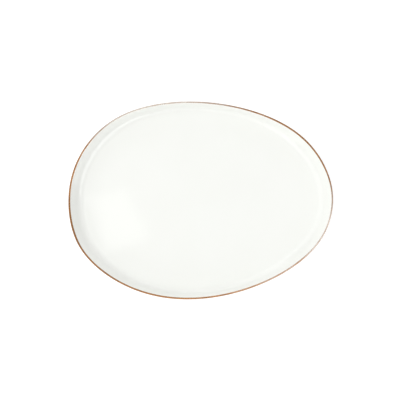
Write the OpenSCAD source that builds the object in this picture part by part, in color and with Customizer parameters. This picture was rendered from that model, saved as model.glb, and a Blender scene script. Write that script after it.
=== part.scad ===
// Oval serving platter: a shallow dish of fired clay with a flat floor, a rounded
// cove and a flared wall. White glaze covers it inside, outside and underneath, a
// bare foot ring carries it, and a metallic lustre band runs round its lip.
// All sizes are in millimetres and degrees. X runs along the platter, Z is up, and
// the foot ring stands on z = 0.

/* [Outline] */
// Length over the lip, along X
platter_length = 356; // [300:1:420]
// Width over the lip, along Y
platter_width = 266; // [220:1:320]
// How much fuller the -X end is than the +X end
egg = 3; // [-5:0.1:5]
// How far the oval leans along one diagonal
lean = 0.8; // [-2:0.1:2]
// How far the diagonals fill out beyond a plain oval
fullness = 1.1; // [-2:0.1:2]
// Size along X of the slow unevenness of a hand-shaped outline
slow_wave_x = -0.5; // [-1:0.1:1]
// Size along Y of the slow unevenness of a hand-shaped outline
slow_wave_y = -0.7; // [-1:0.1:1]
// Size of the quick unevenness of a hand-shaped outline
quick_wave = 0.3; // [-0.4:0.1:0.4]

/* [Height] */
// Height from the table to the top of the lip
platter_height = 25; // [22:0.5:40]
// Height of the bare foot ring under the clay floor
foot_height = 2.5; // [2:0.1:4]
// Thickness of the clay floor
floor_thickness = 5; // [4:0.1:7]

/* [Wall] */
// Slope of the inner wall face at the two ends, up from level
end_slope = 57; // [52:1:70]
// Slope of the inner wall face along the two sides, up from level
side_slope = 72; // [55:1:76]
// How much steeper the outer wall face is than the inner one
outer_steeper = 6; // [2:1:8]
// Radius of the cove between floor and wall at the two ends
end_cove = 11.5; // [6:0.5:13]
// Radius of the cove between floor and wall along the two sides
side_cove = 6.5; // [5:0.5:12]
// Radius of the turn between the outer wall and the underside
turn_radius = 5; // [3:0.5:7]
// Radius of the clay lip, half its thickness
lip_radius = 1; // [0.7:0.1:2]

/* [Foot] */
// Distance from the end of the outer turn to the foot ring
foot_setback = 1.5; // [1:0.1:6]
// Width of the foot ring
foot_width = 4; // [3:0.5:8]

/* [Coats] */
// Thickness of the fired glaze
glaze_thickness = 0.3; // [0.2:0.05:0.6]
// Width of bare clay left between the glaze and the foot ring
glaze_gap = 0.6; // [0.3:0.1:1]
// Thickness that stands for the metallic band on the lip
band_thickness = 0.15; // [0.1:0.05:0.3]

/* [Hidden] */

// Points round the outline, a multiple of four so that all four extremes have one
outline_points = 96;
outline_step = 360 / outline_points;
// Facets along the cove and along the outer turn
cove_facets = 5;
turn_facets = 4;
// Directions round the lip, from its crown at 90 to its outermost line at 180
crown = 90;
outermost = 180;
lip_step = 22.5;

end_reach = platter_length / 2 + fullness;
side_reach = platter_width / 2 + fullness;
floor_top = foot_height + floor_thickness;
lip_outer_radius = lip_radius + glaze_thickness + band_thickness;
lip_centre = [lip_outer_radius, platter_height - lip_outer_radius];

// Distance from the centre to the line that touches the outline square to direction a.
// Each odd wave has its shift of the centre taken out, so that the box stays centred.
function reach(a) =
    norm([end_reach * cos(a), side_reach * sin(a)])
    - fullness * cos(4 * a)
    + lean * sin(2 * a)
    + egg * (cos(3 * a) - cos(a))
    + slow_wave_x * (cos(5 * a) - cos(a))
    + slow_wave_y * (sin(5 * a) - sin(a))
    + quick_wave * (cos(7 * a) - cos(a) + sin(7 * a) + sin(a));

// How fast reach(a) grows with a, per radian
function reach_rate(a) =
    (pow(side_reach, 2) - pow(end_reach, 2)) * sin(a) * cos(a)
        / norm([end_reach * cos(a), side_reach * sin(a)])
    + 4 * fullness * sin(4 * a)
    + 2 * lean * cos(2 * a)
    + egg * (sin(a) - 3 * sin(3 * a))
    + slow_wave_x * (sin(a) - 5 * sin(5 * a))
    + slow_wave_y * (5 * cos(5 * a) - cos(a))
    + quick_wave * (sin(a) - 7 * sin(7 * a) + 7 * cos(7 * a) + cos(a));

// Point of the outline whose outward direction is a, moved inwards by inset
function outline_point(a, inset) =
    (reach(a) - inset) * [cos(a), sin(a)] + reach_rate(a) * [-sin(a), cos(a)];

// A value that keeps near its value at the ends until a nears the sides
function blend(a, at_ends, at_sides) = at_ends + (at_sides - at_ends) * pow(sin(a), 6);

// The section at direction a lies in a plane of [inset, height]. Its directions are
// angles there: 0 points to the centre, 90 up, 180 outwards and 270 down.
function toward(direction) = [cos(direction), sin(direction)];
function inner_face(a) = crown - blend(a, end_slope, side_slope);
function outer_face(a) = 270 - blend(a, end_slope, side_slope) - outer_steeper;
function cove_radius(a) = blend(a, end_cove, side_cove);

// Centre of the circle at a given height that touches a wall face on the given side
function circle_centre(height, face, radius) =
    [(lip_centre * toward(face) + lip_radius - radius - height * sin(face)) / cos(face), height];
function cove_centre(a) =
    circle_centre(floor_top + cove_radius(a), inner_face(a), -cove_radius(a));
function turn_centre(a) = circle_centre(foot_height + turn_radius, outer_face(a), turn_radius);

// Section of the inner face from the edge of the flat floor up to the crown of the
// lip, and of the outer face from the crown down to the underside. Both lie at a
// given depth of coat over the clay.
function inner_section(a, coat) = concat(
    [for (i = [0:cove_facets])
        cove_centre(a)
        - (cove_radius(a) - coat) * toward(crown + (inner_face(a) - crown) * i / cove_facets)],
    [for (direction = [inner_face(a), crown - 2 * lip_step, crown - lip_step, crown])
        lip_centre + (lip_radius + coat) * toward(direction)]);

function outer_section(a, coat) = concat(
    [for (direction = [crown:lip_step:outermost])
        lip_centre + (lip_radius + coat) * toward(direction)],
    [lip_centre + (lip_radius + coat) * toward(outer_face(a))],
    [for (i = [0:turn_facets])
        turn_centre(a)
        + (turn_radius + coat) * toward(outer_face(a) + (270 - outer_face(a)) * i / turn_facets)]);

// Section of the lip under the band, from its inner edge over the crown to the
// outer wall face
function lip_section(a, coat) =
    [for (direction = [crown - lip_step:lip_step:outermost])
        lip_centre + (lip_radius + coat) * toward(direction),
    lip_centre + (lip_radius + coat) * toward(outer_face(a))];

function reversed(list) = [for (i = [len(list) - 1:-1:0]) list[i]];
function after_first(list) = [for (i = [1:len(list) - 1]) list[i]];
function foot_outer(a) = turn_centre(a)[0] + foot_setback;

// Four corners as two triangles, split along the shorter diagonal, so that coats
// that touch share every facet
function patch(points, a, b, c, d) =
    norm(points[a] - points[c]) < norm(points[b] - points[d])
        ? [[a, b, c], [a, c, d]]
        : [[a, b, d], [b, c, d]];

// Closed solid whose section at each direction a is sections[j]. With capped it is
// closed by a flat face at each end of the section, and otherwise it is a ring.
module swept(sections, capped = false) {
    levels = len(sections[0]);
    points = [for (i = [0:levels - 1], j = [0:outline_points - 1])
        concat(outline_point(j * outline_step, sections[j][i][0]), sections[j][i][1])];
    strips = capped ? levels - 2 : levels - 1;
    skin = [for (i = [0:strips], j = [0:outline_points - 1])
        let (low = i * outline_points,
            high = (i + 1) % levels * outline_points,
            next = (j + 1) % outline_points)
        each patch(points, low + j, high + j, high + next, low + next)];
    last = (levels - 1) * outline_points;
    caps = [[for (j = [0:outline_points - 1]) j],
        [for (j = [outline_points - 1:-1:0]) last + j]];
    polyhedron(points, capped ? concat(skin, caps) : skin, convexity = 10);
}

// Flat outline at an inset from the outer edge of the foot ring
module foot_outline(inset) {
    polygon([for (j = [0:outline_points - 1])
        outline_point(j * outline_step, foot_outer(j * outline_step) + inset)]);
}

module clay_body() {
    color("antiquewhite")
    swept([for (j = [0:outline_points - 1])
        reversed(concat(inner_section(j * outline_step, 0),
            after_first(outer_section(j * outline_step, 0))))],
        capped = true);
}

module foot_ring() {
    color("tan")
    linear_extrude(foot_height)
    difference() {
        foot_outline(0);
        foot_outline(foot_width);
    }
}

module glaze_inside() {
    color("white")
    swept([for (j = [0:outline_points - 1])
        concat(inner_section(j * outline_step, 0),
            reversed(inner_section(j * outline_step, glaze_thickness)))],
        capped = true);
}

module glaze_outside() {
    color("whitesmoke")
    swept([for (j = [0:outline_points - 1])
        let (a = j * outline_step,
            edge = foot_outer(a) - glaze_gap)
        concat(outer_section(a, 0), [[edge, foot_height], [edge, foot_height - glaze_thickness]],
            reversed(outer_section(a, glaze_thickness)))]);
}

module glaze_underside() {
    color("snow")
    translate([0, 0, foot_height - glaze_thickness])
    linear_extrude(glaze_thickness)
    foot_outline(foot_width + glaze_gap);
}

module rim_band() {
    color("peru")
    swept([for (j = [0:outline_points - 1])
        concat(lip_section(j * outline_step, glaze_thickness),
            reversed(lip_section(j * outline_step, glaze_thickness + band_thickness)))]);
}

clay_body();
foot_ring();
glaze_inside();
glaze_outside();
glaze_underside();
rim_band();
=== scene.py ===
"""Looks of the oval serving platter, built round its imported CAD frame.

Each CAD piece is replaced by a finer mesh of the same shape: the outline and the
section repeat the CAD model's own rules, in metres, and add what firing and hand
work leave behind, such as a softened cove, uneven walls and a wavering painted line.
"""
import math

import bpy
import numpy as np
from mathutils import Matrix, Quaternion, Vector


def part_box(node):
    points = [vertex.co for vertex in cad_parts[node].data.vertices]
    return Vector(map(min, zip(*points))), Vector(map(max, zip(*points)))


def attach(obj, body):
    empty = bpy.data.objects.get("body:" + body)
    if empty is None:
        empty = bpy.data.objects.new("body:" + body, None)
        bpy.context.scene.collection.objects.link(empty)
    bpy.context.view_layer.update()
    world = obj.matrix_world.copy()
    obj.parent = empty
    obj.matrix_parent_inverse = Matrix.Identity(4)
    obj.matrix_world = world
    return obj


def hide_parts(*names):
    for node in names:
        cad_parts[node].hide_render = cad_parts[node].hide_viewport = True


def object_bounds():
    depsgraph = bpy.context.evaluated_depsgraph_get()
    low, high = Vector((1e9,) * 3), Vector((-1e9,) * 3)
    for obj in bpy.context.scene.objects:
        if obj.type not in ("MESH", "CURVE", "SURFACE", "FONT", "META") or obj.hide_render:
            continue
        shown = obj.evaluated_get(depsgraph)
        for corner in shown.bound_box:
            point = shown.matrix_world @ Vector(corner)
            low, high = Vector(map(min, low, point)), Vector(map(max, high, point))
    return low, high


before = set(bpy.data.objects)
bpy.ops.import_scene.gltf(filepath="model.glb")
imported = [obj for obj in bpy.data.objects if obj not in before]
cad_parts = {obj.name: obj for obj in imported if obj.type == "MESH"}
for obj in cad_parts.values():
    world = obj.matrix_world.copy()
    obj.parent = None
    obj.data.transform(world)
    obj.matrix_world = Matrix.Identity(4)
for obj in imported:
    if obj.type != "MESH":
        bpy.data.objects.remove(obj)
cad_low, cad_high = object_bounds()

BODY = "root"            # the one body of a part with no joints
MM = 0.001

# ---------------------------------------------------------------- sizes
LENGTH, WIDTH, HEIGHT = (cad_high[i] - cad_low[i] for i in range(3))
FOOT_LOW, FOOT_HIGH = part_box("foot_ring")
FOOT_HEIGHT = FOOT_HIGH[2] - FOOT_LOW[2]
CLAY_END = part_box("clay_body")[1][0]
GLAZE_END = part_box("glaze_outside")[1][0]
FLOOR_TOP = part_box("glaze_inside")[0][2]
GLAZE = GLAZE_END - CLAY_END
BAND = cad_high[0] - GLAZE_END
BITE = 0.05 * MM         # how far pieces sink into each other, so that no gap shows

# Outline waves, as on the CAD model
FULLNESS = 1.1 * MM
LEAN = 0.8 * MM
EGG = 3.0 * MM
SLOW_X = -0.5 * MM
SLOW_Y = -0.7 * MM
QUICK = 0.3 * MM

# Section, as on the CAD model
END_SLOPE, SIDE_SLOPE = math.radians(57), math.radians(72)
OUTER_STEEPER = math.radians(6)
END_COVE, SIDE_COVE = 11.5 * MM, 6.5 * MM
TURN_RADIUS = 5 * MM
LIP_RADIUS = 1 * MM
FOOT_SETBACK = 1.5 * MM
FOOT_WIDTH = 4 * MM
GLAZE_GAP = 0.6 * MM
LIP_INSET = LIP_RADIUS + GLAZE + BAND
LIP_HEIGHT = HEIGHT - LIP_INSET

# Shallow ripples over the platter: radians per metre along X and Y, shift, strength
RIPPLES = ((38, 17, 0.4, 1.0), (-21, 44, 1.9, 1.0), (71, -33, 2.8, 0.6), (29, 83, 5.1, 0.6))

# Limits of how pale the painted line is made, which is 0 on an ordinary stretch
DARKEST_LINE, PALEST_LINE = -0.5, 1

# Mesh density
ROUND = 480              # columns round the outline
DISC_STEPS = 26          # from the edge of a flat disc to its middle
FLOOR_STEPS = 20         # over the floor beside the cove
COVE_STEPS = 16
WALL_STEPS = 16
INNER_LIP_STEPS = 8
OUTER_LIP_STEPS = 12
TURN_STEPS = 12
UNDERSIDE_STEPS = 5      # from the outer turn to the edge of the glaze
EDGE_STEPS = 5           # round the edge of a coat or of the foot
FILLET_STEPS = 4
BAND_STEPS = 20          # across the painted line

CROWN = math.pi / 2
OUTERMOST = math.pi
DOWN = 3 * math.pi / 2
INWARDS = 2 * math.pi
ANGLES = np.arange(ROUND) * 2 * math.pi / ROUND


# ---------------------------------------------------------------- outline
def reach(a):
    """Distance from the centre to the outline's tangent line in direction a."""
    end, side = LENGTH / 2 + FULLNESS, WIDTH / 2 + FULLNESS
    return (
        np.hypot(end * np.cos(a), side * np.sin(a))
        - FULLNESS * np.cos(4 * a)
        + LEAN * np.sin(2 * a)
        + EGG * (np.cos(3 * a) - np.cos(a))
        + SLOW_X * (np.cos(5 * a) - np.cos(a))
        + SLOW_Y * (np.sin(5 * a) - np.sin(a))
        + QUICK * (np.cos(7 * a) - np.cos(a) + np.sin(7 * a) + np.sin(a))
    )


def reach_rate(a):
    """How fast reach(a) grows with a."""
    end, side = LENGTH / 2 + FULLNESS, WIDTH / 2 + FULLNESS
    return (
        (side**2 - end**2) * np.sin(a) * np.cos(a) / np.hypot(end * np.cos(a), side * np.sin(a))
        + 4 * FULLNESS * np.sin(4 * a)
        + 2 * LEAN * np.cos(2 * a)
        + EGG * (np.sin(a) - 3 * np.sin(3 * a))
        + SLOW_X * (np.sin(a) - 5 * np.sin(5 * a))
        + SLOW_Y * (5 * np.cos(5 * a) - np.cos(a))
        + QUICK * (np.sin(a) - 7 * np.sin(7 * a) + 7 * np.cos(7 * a) + np.cos(a))
    )


# ---------------------------------------------------------------- section
# A section row is a pair of arrays over ANGLES: inset from the outline, and height.
def toward(direction):
    """Unit row at an angle in the section: 0 points to the centre, a right angle up."""
    return np.array([np.cos(direction) * np.ones(ROUND), np.sin(direction) * np.ones(ROUND)])


def blend(at_ends, at_sides):
    """A value that keeps near its value at the ends until the sides come near."""
    return at_ends + (at_sides - at_ends) * np.sin(ANGLES) ** 6


INNER_FACE = CROWN - blend(END_SLOPE, SIDE_SLOPE)
OUTER_FACE = DOWN - blend(END_SLOPE, SIDE_SLOPE) - OUTER_STEEPER
COVE_RADIUS = blend(END_COVE, SIDE_COVE)
LIP_CENTRE = np.array([[LIP_INSET] * ROUND, [LIP_HEIGHT] * ROUND])


def circle_centre(height, face, radius):
    """Centre, at a height, of the circle that touches a wall face."""
    along = LIP_CENTRE[0] * np.cos(face) + LIP_CENTRE[1] * np.sin(face)
    inset = (along + LIP_RADIUS - radius - height * np.sin(face)) / np.cos(face)
    return np.array([inset, height * np.ones(ROUND)])


COVE_CENTRE = circle_centre(FLOOR_TOP + COVE_RADIUS, INNER_FACE, -COVE_RADIUS)
TURN_CENTRE = circle_centre(FOOT_HEIGHT + TURN_RADIUS, OUTER_FACE, TURN_RADIUS)
FOOT_OUTER = TURN_CENTRE[0] + FOOT_SETBACK


def arc(centre, radius, start, end, steps):
    """Rows round a centre, with both ends."""
    return [centre + radius * toward(start + (end - start) * i / steps) for i in range(steps + 1)]


def line(start, end, steps):
    """Rows strictly between two rows."""
    return [start + (end - start) * i / steps for i in range(1, steps)]


def softened(rows, passes):
    """Rows relaxed towards their neighbours, which rounds off the ends of the arcs."""
    rows = np.array(rows)
    for _ in range(passes):
        rows[1:-1] = 0.25 * rows[:-2] + 0.5 * rows[1:-1] + 0.25 * rows[2:]
    return list(rows)


def inner_section(coat):
    """From the flat floor through the cove and up the wall to the crown of the lip."""
    floor_run = 14 * MM
    cove = arc(COVE_CENTRE, coat - COVE_RADIUS, CROWN, INNER_FACE, COVE_STEPS)
    start = cove[0] + np.array([[floor_run] * ROUND, [0] * ROUND])
    wall_top = LIP_CENTRE + (LIP_RADIUS + coat) * toward(INNER_FACE)
    below_lip = [
        start,
        *line(start, cove[0], FLOOR_STEPS),
        *cove,
        *line(cove[-1], wall_top, WALL_STEPS),
    ]
    lip = arc(LIP_CENTRE, LIP_RADIUS + coat, INNER_FACE, CROWN, INNER_LIP_STEPS)
    return softened(below_lip, passes=10) + lip


def outer_section(coat, end_inset):
    """From the crown of the lip down the wall and the turn to the underside."""
    lip = arc(LIP_CENTRE, LIP_RADIUS + coat, CROWN, OUTER_FACE, OUTER_LIP_STEPS)
    turn = arc(TURN_CENTRE, TURN_RADIUS + coat, OUTER_FACE, DOWN, TURN_STEPS)
    end = np.array([end_inset, FOOT_HEIGHT - coat * np.ones(ROUND)])
    below_lip = [
        *line(lip[-1], turn[0], WALL_STEPS),
        *turn,
        *line(turn[-1], end, UNDERSIDE_STEPS),
        end,
    ]
    return lip + softened(below_lip, passes=4)


# ---------------------------------------------------------------- hand work
def waves(a, seed, lobes, size):
    """Smooth periodic unevenness round the outline."""
    rng = np.random.default_rng(seed)
    total = np.zeros_like(a)
    for n in lobes:
        total += rng.uniform(0.5, 1) / n**0.5 * np.sin(n * a + rng.uniform(0, 2 * math.pi))
    return size * total / np.abs(total).max()


def smooth_step(low, high, value):
    """Rises smoothly from 0 at low to 1 at high."""
    t = np.clip((value - low) / (high - low), 0, 1)
    return t * t * (3 - 2 * t)


def hand_warp(points):
    """The slight unevenness that drying and firing leave. The foot keeps its place, so
    the platter stands flat. The lip keeps its outline, and dips a little in places."""
    x, y, z = points.T
    a = np.arctan2(y * LENGTH / WIDTH, x)
    radius = np.hypot(x / LENGTH, y / WIDTH) * 2
    above_foot = smooth_step(FOOT_HEIGHT, 2 * FOOT_HEIGHT, z)
    ripple = sum(
        strength * np.sin(along_x * x + along_y * y + shift)
        for along_x, along_y, shift, strength in RIPPLES
    )
    sag = -0.10 * MM * (1 - np.clip(radius, 0, 1) ** 2)
    lift = above_foot * (1 - smooth_step(0.6 * HEIGHT, HEIGHT, z)) * (0.045 * MM * ripple + sag)
    dip = 0.16 * MM
    droop = smooth_step(0.4 * HEIGHT, HEIGHT, z) * (waves(a, 5, (2, 3, 5, 7), dip) - dip)
    mid_wall = np.sin(math.pi * np.clip((z - FOOT_HEIGHT) / (LIP_HEIGHT - FOOT_HEIGHT), 0, 1))
    push = mid_wall * smooth_step(0.7, 0.9, radius) * waves(a, 8, (3, 5, 8, 13), 0.22 * MM)
    return np.stack([x - push * np.cos(a), y - push * np.sin(a), z + lift + droop], axis=1)


# ---------------------------------------------------------------- meshes
def placed(row):
    """A section row as points in space."""
    out = reach(ANGLES) - row[0]
    along = reach_rate(ANGLES)
    x = out * np.cos(ANGLES) - along * np.sin(ANGLES)
    y = out * np.sin(ANGLES) + along * np.cos(ANGLES)
    return np.stack([x, y, row[1] * np.ones(ROUND)], axis=1)


def disc(row):
    """Rings that carry a placed row inwards to just short of the middle."""
    edge = placed(row)
    shrink = 1 - np.linspace(0, 1, DISC_STEPS + 1)[1:-1]
    return [edge * [s, s, 1] for s in shrink]


def solid(name, rings, capped):
    """Closed smooth mesh through rings of points. With capped, its first and last rings
    close to a middle point, and otherwise the last ring joins the first."""
    rings = [hand_warp(ring) for ring in rings]
    count = len(rings)
    points = np.concatenate(rings)
    column = np.arange(ROUND)
    after = (column + 1) % ROUND
    quads = []
    for i in range(count - 1 if capped else count):
        low, high = i * ROUND, (i + 1) % count * ROUND
        quads.append(np.stack([low + column, low + after, high + after, high + column], axis=1))
    faces = np.concatenate(quads).tolist()
    if capped:
        middles = np.array([rings[0].mean(axis=0), rings[-1].mean(axis=0)])
        points = np.concatenate([points, middles])
        first, last = count * ROUND, count * ROUND + 1
        top = (count - 1) * ROUND
        faces += [[j, first, (j + 1) % ROUND] for j in range(ROUND)]
        faces += [[top + j, top + (j + 1) % ROUND, last] for j in range(ROUND)]
    mesh = bpy.data.meshes.new(name)
    mesh.from_pydata(points.tolist(), [], faces)
    mesh.update()
    mesh.shade_smooth()
    piece = bpy.data.objects.new(name, mesh)
    bpy.context.collection.objects.link(piece)
    return piece


def install(piece, node, material):
    """Puts a finished piece in the place of its CAD node."""
    piece.data.materials.append(material)
    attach(piece, BODY)
    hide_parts(node)


# ---------------------------------------------------------------- node helpers
class Nodes:
    """Short calls for building one material's node tree."""

    def __init__(self, name):
        self.material = bpy.data.materials.new(name)
        self.material.use_nodes = True
        self.tree = self.material.node_tree
        self.tree.nodes.clear()
        self.shader = self.tree.nodes.new("ShaderNodeBsdfPrincipled")
        output = self.tree.nodes.new("ShaderNodeOutputMaterial")
        self.tree.links.new(self.shader.outputs[0], output.inputs["Surface"])
        self.place = self.tree.nodes.new("ShaderNodeTexCoord").outputs["Object"]

    def plug(self, socket, value):
        """Links a socket to another, or gives it a constant value."""
        if isinstance(value, bpy.types.NodeSocket):
            self.tree.links.new(value, socket)
        else:
            socket.default_value = value

    def noise(self, scale, detail, rough=0.5):
        node = self.tree.nodes.new("ShaderNodeTexNoise")
        self.plug(node.inputs["Vector"], self.place)
        node.inputs["Scale"].default_value = scale
        node.inputs["Detail"].default_value = detail
        node.inputs["Roughness"].default_value = rough
        return node.outputs["Fac"]

    def cells(self, scale, output="Distance"):
        node = self.tree.nodes.new("ShaderNodeTexVoronoi")
        self.plug(node.inputs["Vector"], self.place)
        node.inputs["Scale"].default_value = scale
        return node.outputs[output]

    def dots(self, scale, axis, rarity, fade):
        """Round dots in the few cells whose random colour passes rarity on one axis. Each
        is full within the first distance of fade and gone by the second."""
        chosen = self.remap(self.part_of(self.cells(scale, "Color"), axis), *rarity)
        return self.math("MULTIPLY", chosen, self.remap(self.cells(scale), *fade, 1.0, 0.0))

    def remap(self, value, low, high, to_low=0.0, to_high=1.0):
        """A smooth ramp from one range to another, which stays level past both ends."""
        node = self.tree.nodes.new("ShaderNodeMapRange")
        node.interpolation_type = "SMOOTHSTEP"
        self.plug(node.inputs["Value"], value)
        for socket, number in zip(node.inputs[1:5], (low, high, to_low, to_high)):
            socket.default_value = number
        return node.outputs[0]

    def math(self, operation, a, b):
        node = self.tree.nodes.new("ShaderNodeMath")
        node.operation = operation
        self.plug(node.inputs[0], a)
        self.plug(node.inputs[1], b)
        return node.outputs[0]

    def mix(self, factor, a, b):
        """A blend of two colours. The mix node's colour sockets are inputs 6 and 7 and
        output 2."""
        node = self.tree.nodes.new("ShaderNodeMix")
        node.data_type = "RGBA"
        self.plug(node.inputs["Factor"], factor)
        self.plug(node.inputs[6], a if isinstance(a, bpy.types.NodeSocket) else (*a, 1))
        self.plug(node.inputs[7], b if isinstance(b, bpy.types.NodeSocket) else (*b, 1))
        return node.outputs[2]

    def part_of(self, vector, axis):
        node = self.tree.nodes.new("ShaderNodeSeparateXYZ")
        self.plug(node.inputs[0], vector)
        return node.outputs[axis]

    def attribute(self, name):
        node = self.tree.nodes.new("ShaderNodeAttribute")
        node.attribute_name = name
        return node.outputs["Fac"]

    def bump(self, height, distance, strength, normal=None):
        node = self.tree.nodes.new("ShaderNodeBump")
        self.plug(node.inputs["Height"], height)
        node.inputs["Distance"].default_value = distance
        node.inputs["Strength"].default_value = strength
        if normal is not None:
            self.plug(node.inputs["Normal"], normal)
        return node.outputs[0]


# ---------------------------------------------------------------- materials
def glaze_material():
    """White gloss glaze: faintly cloudy, thinner and warmer towards the lip, with a few
    pinholes and iron specks."""
    n = Nodes("white_glaze")
    height = n.part_of(n.place, "Z")
    cloudy, clear = (0.878, 0.888, 0.852), (0.886, 0.896, 0.862)
    warm, iron = (0.90, 0.88, 0.83), (0.42, 0.30, 0.20)
    cloud = n.remap(n.noise(14, 4), 0.35, 0.65)
    colour = n.mix(cloud, cloudy, clear)
    thin = n.remap(height, 0.80 * HEIGHT, HEIGHT, 0.0, 0.35)
    colour = n.mix(thin, colour, warm)
    speck = n.dots(95, "X", rarity=(0.965, 0.975), fade=(0.020, 0.045))
    colour = n.mix(n.math("MULTIPLY", speck, 0.55), colour, iron)
    n.plug(n.shader.inputs["Base Color"], colour)
    n.plug(n.shader.inputs["Roughness"], n.remap(n.noise(70, 5), 0.3, 0.7, 0.045, 0.07))
    n.shader.inputs["IOR"].default_value = 1.52
    pinhole = n.dots(240, "Y", rarity=(0.955, 0.965), fade=(0.03, 0.10))
    soft = n.bump(n.noise(55, 2), 0.10 * MM, 0.35)
    skin = n.bump(n.noise(420, 3), 0.02 * MM, 0.2, soft)
    pricked = n.bump(n.math("MULTIPLY", pinhole, -1), 0.15 * MM, 0.6, skin)
    n.plug(n.shader.inputs["Normal"], pricked)
    return n.material


def clay_material(name, light, dark, rough):
    """Bare fired clay: fine grain, darker iron grains and a ground or cast tooth."""
    n = Nodes(name)
    grain = n.remap(n.noise(900, 4, 0.7), 0.38, 0.66)
    colour = n.mix(grain, dark, light)
    stain = n.remap(n.noise(40, 5), 0.5, 0.75, 0.0, 0.45)
    colour = n.mix(stain, colour, tuple(0.82 * c for c in dark))
    iron = (0.25, 0.17, 0.11)
    colour = n.mix(n.remap(n.cells(700), 0.05, 0.11, 0.5, 0.0), colour, iron)
    n.plug(n.shader.inputs["Base Color"], colour)
    tooth = n.remap(n.noise(300, 3), 0.3, 0.7, rough - 0.08, rough + 0.06)
    n.plug(n.shader.inputs["Roughness"], tooth)
    n.shader.inputs["Specular IOR Level"].default_value = 0.3
    pits = n.bump(n.noise(1600, 3), 0.08 * MM, 0.7)
    n.plug(n.shader.inputs["Normal"], n.bump(n.cells(1100), 0.10 * MM, 0.35, pits))
    return n.material


def lustre_material():
    """Copper-coloured metallic lustre, brushed on by hand. Where the fade attribute is
    below 0 it is darker, and above 0 it grows paler, towards a warm white, and less metallic."""
    n = Nodes("copper_lustre")
    fade = n.attribute("fade")
    dark, copper, bright = (0.265, 0.118, 0.042), (0.375, 0.182, 0.072), (0.52, 0.29, 0.14)
    darkest_copper, washed, through = (0.20, 0.085, 0.022), (0.39, 0.295, 0.235), (0.72, 0.69, 0.63)
    patch = n.noise(60, 4)
    streak = n.noise(900, 3, 0.6)
    deep = n.mix(n.remap(patch, 0.3, 0.7), dark, copper)
    deep = n.mix(n.remap(streak, 0.45, 0.75, 0.0, 0.35), deep, bright)
    # Darker, towards the darkest copper colour, where fade is below 0
    deep = n.mix(n.remap(fade, DARKEST_LINE, 0.0, 0.3, 0.0), deep, darkest_copper)
    # Paler where fade is above 0: first a washed-out copper, then a warm white, and less metallic
    uneven = n.math("ADD", fade, n.math("MULTIPLY", n.math("SUBTRACT", patch, 0.5), 0.5))
    thin = n.mix(n.remap(uneven, 0.25, 0.60), deep, washed)
    pale = n.remap(uneven, 0.50, 1.05)
    n.plug(n.shader.inputs["Base Color"], n.mix(pale, thin, through))
    n.plug(n.shader.inputs["Metallic"], n.remap(pale, 0.0, 1.0, 0.85, 0.25))
    n.plug(n.shader.inputs["Roughness"], n.remap(streak, 0.3, 0.7, 0.24, 0.40))
    n.plug(n.shader.inputs["Normal"], n.bump(streak, 0.02 * MM, 0.5))
    return n.material


# ---------------------------------------------------------------- the pieces
def make_clay(material):
    """The whole dish, with its floor under the glaze."""
    inner = inner_section(0.0)
    outer = outer_section(0.0, FOOT_OUTER)
    rows = [placed(row) for row in reversed(inner + outer[1:])]
    under = np.array([FOOT_OUTER + FOOT_WIDTH, FOOT_HEIGHT * np.ones(ROUND)])
    rings = [*reversed(disc(under)), placed(under), *rows, *disc(inner[0])]
    install(solid("platter_clay_body", rings, capped=True), "clay_body", material)


def make_glaze_inside(material):
    """From the middle of the well to the crown of the lip."""
    top = inner_section(GLAZE)
    bottom = inner_section(-BITE)
    rings = [
        *reversed(disc(bottom[0])),
        *[placed(row) for row in bottom],
        *[placed(row) for row in reversed(top)],
        *disc(top[0]),
    ]
    install(solid("platter_glaze_inside", rings, capped=True), "glaze_inside", material)


def make_glaze_outside(material):
    """From the crown of the lip to a wavering edge just short of the foot."""
    edge = FOOT_OUTER - GLAZE_GAP + waves(ANGLES, 21, (4, 9, 15, 23), 0.30 * MM)
    top = outer_section(GLAZE, edge - GLAZE)
    bottom = outer_section(-BITE, edge)
    centre = np.array([edge - GLAZE, FOOT_HEIGHT * np.ones(ROUND)])
    roll = arc(centre, GLAZE, DOWN, INWARDS, EDGE_STEPS)
    rings = [placed(row) for row in [*bottom, *reversed(roll[1:]), *reversed(top)]]
    install(solid("platter_glaze_outside", rings, capped=False), "glaze_outside", material)


def make_glaze_underside(material):
    """A thin disc inside the foot ring, with a wavering rolled edge."""
    edge = FOOT_OUTER + FOOT_WIDTH + GLAZE_GAP + waves(ANGLES, 22, (5, 8, 14, 27), 0.30 * MM)
    centre = np.array([edge + GLAZE, FOOT_HEIGHT * np.ones(ROUND)])
    roll = arc(centre, GLAZE, OUTERMOST, DOWN, EDGE_STEPS)
    top = np.array([edge, FOOT_HEIGHT + BITE * np.ones(ROUND)])
    rings = [
        *reversed(disc(roll[-1])),
        *[placed(row) for row in reversed(roll)],
        placed(top),
        *disc(top),
    ]
    install(solid("platter_glaze_underside", rings, capped=True), "glaze_underside", material)


def make_foot(material):
    """Foot ring with worn bottom edges and a small fillet where it meets the floor."""
    edge_radius = 0.5 * MM
    fillet = 0.35 * MM
    inner_side = FOOT_OUTER + FOOT_WIDTH
    low = edge_radius * np.ones(ROUND)
    root = (FOOT_HEIGHT - fillet) * np.ones(ROUND)
    buried = (FOOT_HEIGHT + BITE) * np.ones(ROUND)
    outer_root = np.array([FOOT_OUTER - fillet, root])
    outer_edge = np.array([FOOT_OUTER + edge_radius, low])
    inner_edge = np.array([inner_side - edge_radius, low])
    inner_root = np.array([inner_side + fillet, root])
    rows = [
        np.array([outer_root[0], buried]),
        *arc(outer_root, fillet, CROWN, 0, FILLET_STEPS),
        *arc(outer_edge, edge_radius, OUTERMOST, DOWN, EDGE_STEPS),
        *arc(inner_edge, edge_radius, DOWN, INWARDS, EDGE_STEPS),
        *arc(inner_root, fillet, OUTERMOST, CROWN, FILLET_STEPS),
        np.array([inner_root[0], buried]),
    ]
    rings = [placed(row) for row in rows]
    install(solid("platter_foot_ring", rings, capped=False), "foot_ring", material)


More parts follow.
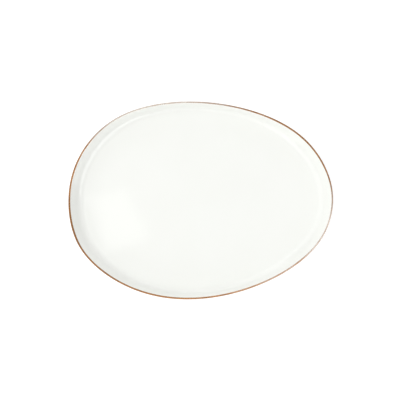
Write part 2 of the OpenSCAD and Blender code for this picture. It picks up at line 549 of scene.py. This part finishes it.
def fade_of(a):
    """How pale the lustre is made round the lip. It is 0 on an ordinary stretch, above 0
    where the line is paler, and below 0 where it is darker. Each stretch has its middle
    and spread in degrees from +X, and its strength."""
    total = 0.13 + waves(a, 31, (3, 5, 9, 17), 0.12)
    for middle, spread, strength in (
        (104, 36, 0.67), (330, 45, 0.56), (48, 14, -0.20), (265, 18, -0.30), (195, 22, -0.50),
    ):
        apart = np.angle(np.exp(1j * (a - math.radians(middle))))
        total += strength * np.exp(-((apart / math.radians(spread)) ** 2))
    return np.clip(total, DARKEST_LINE, PALEST_LINE)


def lip_row(direction, radius):
    """Row at a direction round the lip, or on down the inner wall past the lip's end."""
    past = np.clip(INNER_FACE - direction, 0, None) * radius
    down = np.array([np.sin(INNER_FACE), -np.cos(INNER_FACE)])
    return LIP_CENTRE + radius * toward(np.maximum(direction, INNER_FACE)) + past * down


def make_band(material):
    """Painted line over the lip. Its film is level across most of its width and dies out
    at both edges, which waver as a brushed line's do. It narrows from its inner edge
    where it is pale, and widens there where it is dark."""
    inner_edge, outer_edge = math.radians(38), math.radians(199)
    fade = fade_of(ANGLES)
    narrowing = math.radians(36) * np.where(fade > 0, fade, 2 * fade)
    start = inner_edge + narrowing + waves(ANGLES, 41, (6, 11, 19, 31), 0.10)
    end = outer_edge + waves(ANGLES, 42, (5, 12, 21, 34), 0.06)
    base = LIP_RADIUS + GLAZE
    film = 0.10 * MM
    over, under = [], []
    for i in range(BAND_STEPS + 1):
        t = i / BAND_STEPS
        direction = start + (end - start) * t
        swell = (1 - (2 * t - 1) ** 8) ** 0.5
        over.append(lip_row(direction, base + film * swell))
        under.append(lip_row(direction, base - BITE))
    rings = [placed(row) for row in [*under, *reversed(over)]]
    piece = solid("platter_rim_band", rings, capped=False)
    attribute = piece.data.attributes.new("fade", "FLOAT", "POINT")
    attribute.data.foreach_set("value", np.tile(fade, len(rings)))
    install(piece, "rim_band", material)


glaze = glaze_material()
make_clay(clay_material("fired_clay", (0.80, 0.75, 0.67), (0.70, 0.64, 0.55), 0.75))
make_foot(clay_material("ground_bare_clay", (0.76, 0.70, 0.60), (0.62, 0.55, 0.45), 0.86))
make_glaze_inside(glaze)
make_glaze_outside(glaze)
make_glaze_underside(glaze)
make_band(lustre_material())


# ---------------------------------------------------------------- studio
def stage_piece(name, points, faces, grey, glow):
    """Plain matt part of the studio, which may glow."""
    mesh = bpy.data.meshes.new(name)
    mesh.from_pydata(points, [], faces)
    mesh.shade_smooth()
    piece = bpy.data.objects.new(name, mesh)
    bpy.context.collection.objects.link(piece)
    n = Nodes(name)
    n.plug(n.shader.inputs["Base Color"], (grey, grey, grey, 1))
    n.shader.inputs["Roughness"].default_value = 0.9
    n.shader.inputs["Emission Color"].default_value = (1, 1, 1, 1)
    n.shader.inputs["Emission Strength"].default_value = glow
    mesh.materials.append(n.material)
    return piece


def make_floor():
    """Pale floor that glows a little, as a light table does. It throws no soft light
    back up, so the outer wall keeps its shading."""
    size, level = 12.0, -0.05 * MM
    corners = [
        (-size, -size, level), (size, -size, level), (size, size, level), (-size, size, level),
    ]
    floor = stage_piece("studio_floor", corners, [[0, 1, 2, 3]], grey=0.93, glow=0.25)
    floor.visible_diffuse = False


def make_backdrop():
    """White sweep round the floor. Only the camera sees it, so it lights nothing."""
    far, bend, top, steps, columns = 5.0, 2.0, 9.0, 8, 64
    turns = [math.pi / 2 * i / steps for i in range(steps + 1)]
    section = [(far - bend + bend * math.sin(t), bend - bend * math.cos(t)) for t in turns]
    section.append((far, top))
    points = [
        (r * math.cos(2 * math.pi * j / columns), r * math.sin(2 * math.pi * j / columns), z)
        for r, z in section for j in range(columns)
    ]
    faces = [
        [i * columns + j, i * columns + (j + 1) % columns,
         (i + 1) * columns + (j + 1) % columns, (i + 1) * columns + j]
        for i in range(len(section) - 1) for j in range(columns)
    ]
    backdrop = stage_piece("studio_backdrop", points, faces, grey=0.0, glow=1.05)
    for kind in ("diffuse", "glossy", "transmission", "volume_scatter", "shadow"):
        setattr(backdrop, "visible_" + kind, False)


def make_world(radiance):
    """Plain white sky."""
    world = bpy.data.worlds.new("studio_sky")
    bpy.context.scene.world = world
    world.use_nodes = True
    world.node_tree.nodes["Background"].inputs["Color"].default_value = (1, 1, 1, 1)
    world.node_tree.nodes["Background"].inputs["Strength"].default_value = radiance


def softbox(name, place, target, width, height, radiance, roll=0.0):
    """Flat lamp that faces target, with its brightness given as radiance and its roll
    about its own axis in degrees."""
    data = bpy.data.lights.new(name, "AREA")
    data.shape = "RECTANGLE"
    data.size, data.size_y = width, height
    data.energy = radiance * math.pi * width * height
    lamp = bpy.data.objects.new(name, data)
    lamp.location = place
    facing = (Vector(target) - Vector(place)).to_track_quat("-Z", "Y")
    lamp.rotation_euler = (facing @ Quaternion((0, 0, 1), math.radians(roll))).to_euler()
    lamp.visible_camera = False
    bpy.context.collection.objects.link(lamp)
    return lamp


def around(azimuth, elevation, distance):
    """A place at compass angle azimuth from +X and at an elevation, in degrees."""
    a, e = math.radians(azimuth), math.radians(elevation)
    return (
        distance * math.cos(e) * math.cos(a),
        distance * math.cos(e) * math.sin(a),
        distance * math.sin(e),
    )


def make_lamps():
    """Soft lamps all round. Most of their strengths, and the sky's, began as a
    least-squares balance, and some were then changed. The glints show only as
    reflections in the cove, and the patch is the soft bright spot in the well."""
    middle = (0, 0, 0)
    for name, azimuth, elevation, distance, width, height, radiance in (
        ("key", 182, 46, 3.0, 4.2, 4.1, 0.62),
        ("back_high", 100, 58, 4.0, 2.2, 1.8, 1.37),
        ("back_low", 105, 14, 4.0, 2.4, 1.8, 1.53),
        ("front_high", 262, 58, 4.0, 2.6, 1.8, 0.91),
        ("front_low", 253, 14, 4.0, 3.6, 1.8, 1.26),
        ("fill_high", 335, 55, 4.0, 2.2, 1.8, 0.80),
    ):
        softbox(name, around(azimuth, elevation, distance), middle, width, height, radiance)
    for name, azimuth, elevation, distance, width, height, radiance in (
        ("cove_glint", 319, 30, 4.0, 4.6, 3.0, 2.5),
        ("back_glint", 264, 38, 4.0, 4.0, 3.0, 0.7),
    ):
        place = around(azimuth, elevation, distance)
        glint = softbox(name, place, middle, width, height, radiance)
        glint.visible_diffuse = False
    place, target = (-0.224, -0.049, 1.52), (-0.11, -0.023, 0)
    softbox("patch", place, target, 0.120, 0.158, 1.05, roll=100)


def make_camera():
    """Straight above the platter, which lies a little off the picture's centre."""
    centre = (cad_low + cad_high) / 2
    lens, sensor = 100.0, 36.0
    picture_width = 1.508 * LENGTH
    aside = Vector((-0.98 * MM, 0.61 * MM, 0))
    data = bpy.data.cameras.new("camera")
    data.lens, data.sensor_width = lens, sensor
    camera = bpy.data.objects.new("camera", data)
    camera.location = (
        centre.x + aside.x, centre.y + aside.y, cad_high.z + picture_width * lens / sensor
    )
    bpy.context.collection.objects.link(camera)
    bpy.context.scene.camera = camera


make_floor()
make_backdrop()
make_world(radiance=0.668)
make_lamps()
make_camera()
bpy.context.scene.view_settings.view_transform = "Standard"
